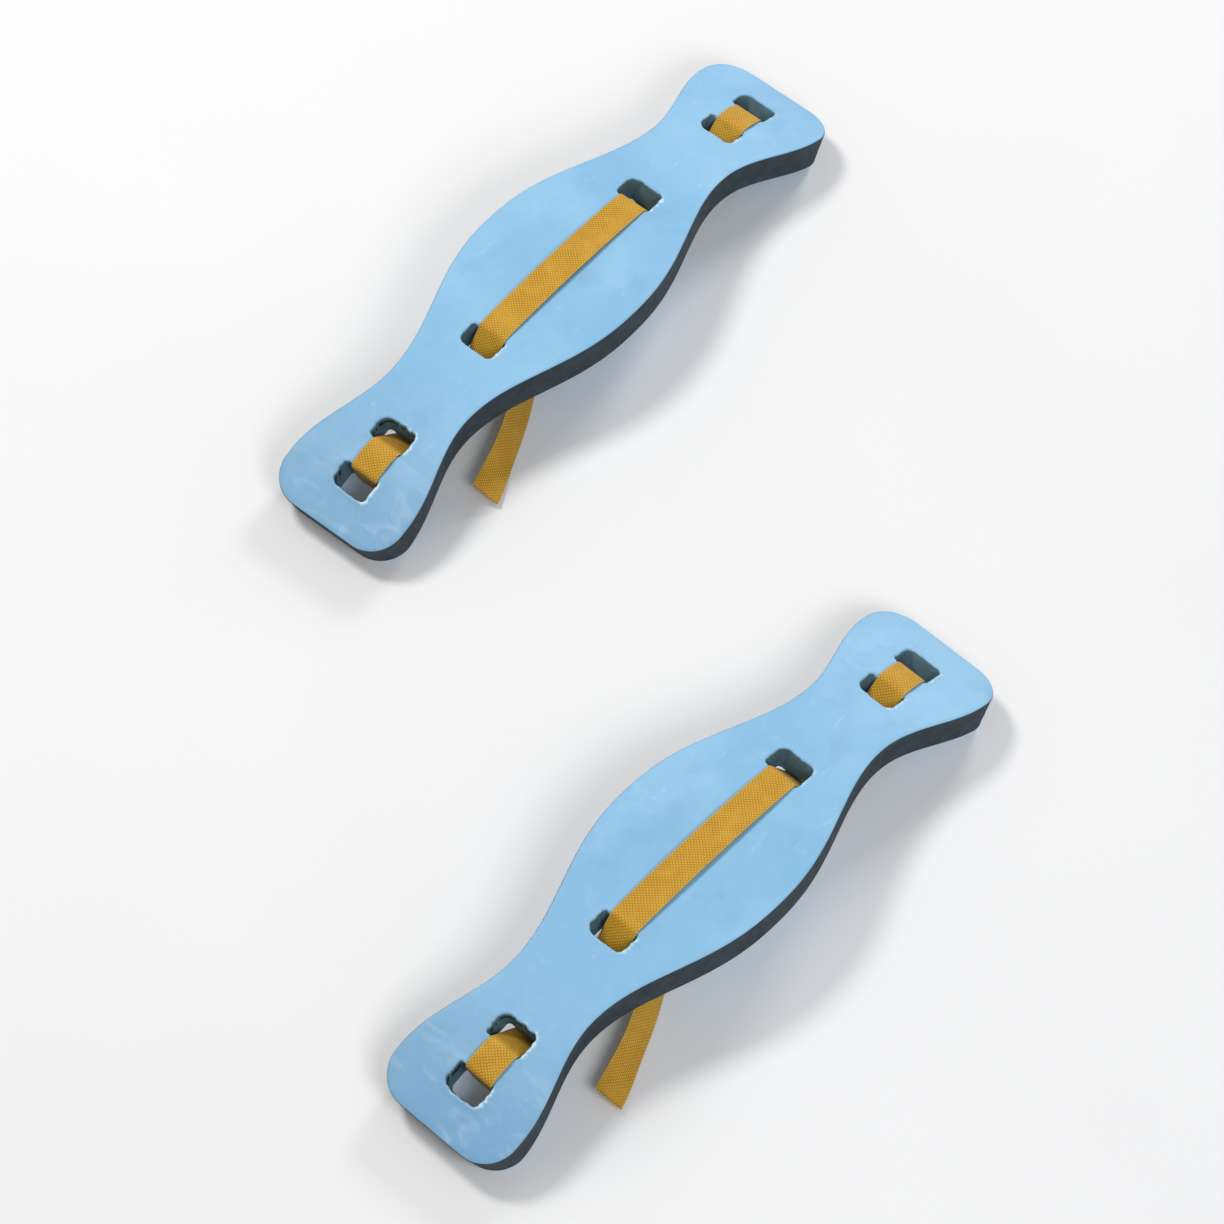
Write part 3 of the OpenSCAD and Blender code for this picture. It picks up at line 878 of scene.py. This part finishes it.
def tail_path():
    """The free end: level off the outer bar, then turning, rolling onto an edge and curling up."""
    total = TAIL_GAP + TAIL_LEVEL_L + TAIL_DROP_L + TAIL_FLAT_L
    count = round(total / TAIL_STEP)
    x, y = TAIL_X + TAIL_GAP, WEB_Y
    points, sides = [], []
    for i in range(count + 1):
        run = total * i / count
        t = run / total
        tip = (t - TIP_FROM) / TIP_SPAN
        turn = (TAIL_TURN + TAIL_SWAY * math.cos(math.pi * t)) * smooth((run - TAIL_GAP) / TURN_L) * DEG
        relax = 1 - TIP_RELAX * smooth(tip)
        roll = TAIL_ROLL * relax * smooth((run - TAIL_LEVEL_L) / ROLL_L) * DEG
        fall = smooth((run - TAIL_LEVEL_L) / TAIL_DROP_L)
        rest_z = WEB_T / 2 * math.cos(roll) + WEB_W / 2 * math.sin(roll) + 0.3
        z = BUCKLE_Z + WEB_OVER + (rest_z - BUCKLE_Z - WEB_OVER) * fall
        curl = TAIL_CURL * max(0, tip) ** 2
        points.append(Vector((x, y, z + curl)))
        sides.append(
            Vector((-math.sin(turn) * math.cos(roll), math.cos(turn) * math.cos(roll), math.sin(roll)))
        )
        x -= total / count * math.cos(turn)
        y -= total / count * math.sin(turn)
    return points, sides


def stitch(points, faces, a, b, up, r, h):
    """One thread stitch from a to b, a low arched bead."""
    ahead = b - a
    length = ahead.length
    ahead = ahead.normalized()
    side = up.cross(ahead)
    first = len(points)
    steps, around = 6, 6
    for i in range(steps + 1):
        t = i / steps
        fat = math.sqrt(max(0.0, math.sin(math.pi * (0.06 + 0.88 * t))))
        for k in range(around):
            w = math.tau * k / around
            q = a + ahead * (length * t) + side * (r * fat * math.cos(w))
            q += up * (h * fat * (0.35 + math.sin(w)))
            points.append(tuple(q))
    for i in range(steps):
        for k in range(around):
            m = (k + 1) % around
            base = first + i * around
            faces.append((base + k, base + m, base + around + m, base + around + k))
    faces.append(tuple(first + k for k in reversed(range(around))))
    faces.append(tuple(first + steps * around + k for k in range(around)))


# Stitching in mm, with the gap at each end of a stitch as a share of its pitch
STITCH_L = 2.6
STITCH_GAP = 0.08
THREAD_R = 0.34
THREAD_H = 0.22
TACK_MARGIN = 8


def bar_tack(name, place):
    """A boxed cross of stitches on both faces of the sewn lap."""
    points, faces = [], []
    x0 = SOCKET_BAR_X + LAP_L - BAR_TACK_L - BAR_TACK_IN
    x1 = x0 + BAR_TACK_L
    w = (WEB_W - TACK_MARGIN) / 2
    for side in (-1, 1):
        z = BUCKLE_Z + side * (PLY_H + WEB_T / 2 + 0.05)
        up = Vector((0, 0, side))
        runs = [((x0, -w), (x1, -w)), ((x1, -w), (x1, w)), ((x1, w), (x0, w)), ((x0, w), (x0, -w))]
        runs += [((x0, -w), (x1, w)), ((x0, w), (x1, -w))]
        for a, b in runs:
            length = math.dist(a, b)
            count = max(3, round(length / STITCH_L))
            for i in range(count):
                t0, t1 = (i + STITCH_GAP) / count, (i + 1 - STITCH_GAP) / count
                p = Vector((a[0] + (b[0] - a[0]) * t0, WEB_Y + a[1] + (b[1] - a[1]) * t0, z))
                q = Vector((a[0] + (b[0] - a[0]) * t1, WEB_Y + a[1] + (b[1] - a[1]) * t1, z))
                stitch(points, faces, p, q, up, THREAD_R, THREAD_H)
    return new_piece(name, points, faces, THREAD, place)


# ---------- the two skis ----------

# The buckle's rounded edges, in metres and degrees
EDGE_WELD = 0.00001
EDGE_BEVEL = 0.0007
EDGE_TURN = 40


def dress_buckle(node):
    """Rounds the moulded edges of a CAD buckle half and gives it its plastic."""
    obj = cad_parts[node]
    obj.data.materials.clear()
    obj.data.materials.append(BUCKLE)
    weld = obj.modifiers.new("weld", "WELD")
    weld.merge_threshold = EDGE_WELD
    bevel = obj.modifiers.new("bevel", "BEVEL")
    bevel.width = EDGE_BEVEL
    bevel.segments = 3
    bevel.limit_method = "ANGLE"
    bevel.angle_limit = EDGE_TURN * DEG
    bevel.harden_normals = True


def ski(key, yaw, seed):
    """All the drawn pieces of one ski. The foam, the strap, the socket webbing and the stitching go on
    the board's body; the plug webbing and the free end are drawn in place without a body, and the buckle
    halves stay on their CAD nodes.
    """
    low, high = (Vector(v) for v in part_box(key + "_foam_board"))
    middle = (low + high) / 2
    place = Matrix.Translation((middle.x, middle.y, 0)) @ Matrix.Rotation(yaw * DEG, 4, "Z")
    board, plug, tail = key + "_board", key + "_plug", key + "_tail"

    foam = foam_board(key + ".foam", place, seed)
    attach(foam, board)
    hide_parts(key + "_foam_board")

    path, sides = fine_route(mirrored(STRAP_HALF)[:-1] + STRAP_HALF)
    strap = ribbon(key + ".webbing", path, place, sides, seed)
    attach(strap, board)
    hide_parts(key + "_strap")

    path, sides = fine_route(SOCKET_ROUTE)
    socket_strap = ribbon(key + ".socket_webbing", path, place, sides, seed + 1)
    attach(socket_strap, board)
    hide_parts(key + "_socket_strap")

    path, sides = fine_route(PLUG_ROUTE)
    plug_strap = ribbon(key + ".plug_webbing", path, place, sides, seed + 2)
    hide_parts(key + "_plug_strap")
    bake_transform(plug_strap)

    path, sides = tail_path()
    free_end = ribbon(key + ".free_end", path, place, sides, seed + 3)
    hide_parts(key + "_strap_tail")
    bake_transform(free_end)

    tack = bar_tack(key + ".stitching", place)
    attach(tack, board)
    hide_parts(key + "_bar_tack")

    dress_buckle(key + "_buckle_socket")
    dress_buckle(key + "_buckle_plug")


ski("ski_a", 0, 2.3)
ski("ski_b", PAIR_TURN, 7.9)

# ---------- floor, light and camera ----------

FLOOR_SIZE = 12.0
FLOOR_CELLS = 24


def floor():
    """A flat square, in metres, centred under the pair."""
    size, count = FLOOR_SIZE, FLOOR_CELLS
    points, faces = [], []
    for i in range(count + 1):
        for j in range(count + 1):
            points.append(((i / count - 0.5) * size / MM, (j / count - 0.5) * size / MM, 0))
    for i in range(count):
        for j in range(count):
            a = i * (count + 1) + j
            faces.append((a, a + count + 1, a + count + 2, a + 1))
    return new_piece("floor", points, faces, floor_material(), Matrix.Identity(4))


floor()


def area_light(name, at, size, watts, colour):
    """A round soft light that points at the origin."""
    data = bpy.data.lights.new(name, "AREA")
    data.shape = "DISK"
    data.size = size
    data.energy = watts
    data.color = colour
    light = bpy.data.objects.new(name, data)
    light.location = at
    light.rotation_euler = (-Vector(at)).to_track_quat("-Z", "Y").to_euler()
    bpy.context.scene.collection.objects.link(light)


# Name, place, size, watts and colour
LIGHTS = (
    ("key", (-0.2, 2.0, 3.0), 0.9, 56, (1.0, 0.98, 0.95)),
    ("far", (3.2, 0.6, 1.8), 1.2, 45, (0.97, 0.98, 1.0)),
    ("fill", (-1.2, -2.2, 2.4), 1.5, 42, (0.97, 0.98, 1.0)),
)
SKY = (0.95, 0.97, 1.0, 1)
SKY_STRENGTH = 0.3

# The camera's right, up and back directions
CAMERA_ROWS = (
    (0.63129, -0.773941, 0.049875),
    (0.624737, 0.545586, 0.558605),
    (-0.459539, -0.321483, 0.827933),
)
CAMERA_AT = (-2.08766, -1.44865, 3.72773)
CAMERA_LENS = 147.06

scene = bpy.context.scene
camera_data = bpy.data.cameras.new("camera")
camera_data.sensor_width = 36
camera_data.lens = CAMERA_LENS
camera_data.clip_end = 100
camera = bpy.data.objects.new("camera", camera_data)
camera.matrix_world = Matrix.Translation(CAMERA_AT) @ Matrix(CAMERA_ROWS).transposed().to_4x4()
scene.collection.objects.link(camera)
scene.camera = camera

for light in LIGHTS:
    area_light(*light)
world = bpy.data.worlds.new("world")
world.use_nodes = True
world.node_tree.nodes["Background"].inputs[0].default_value = SKY
world.node_tree.nodes["Background"].inputs[1].default_value = SKY_STRENGTH
scene.world = world
scene.view_settings.view_transform = "Standard"
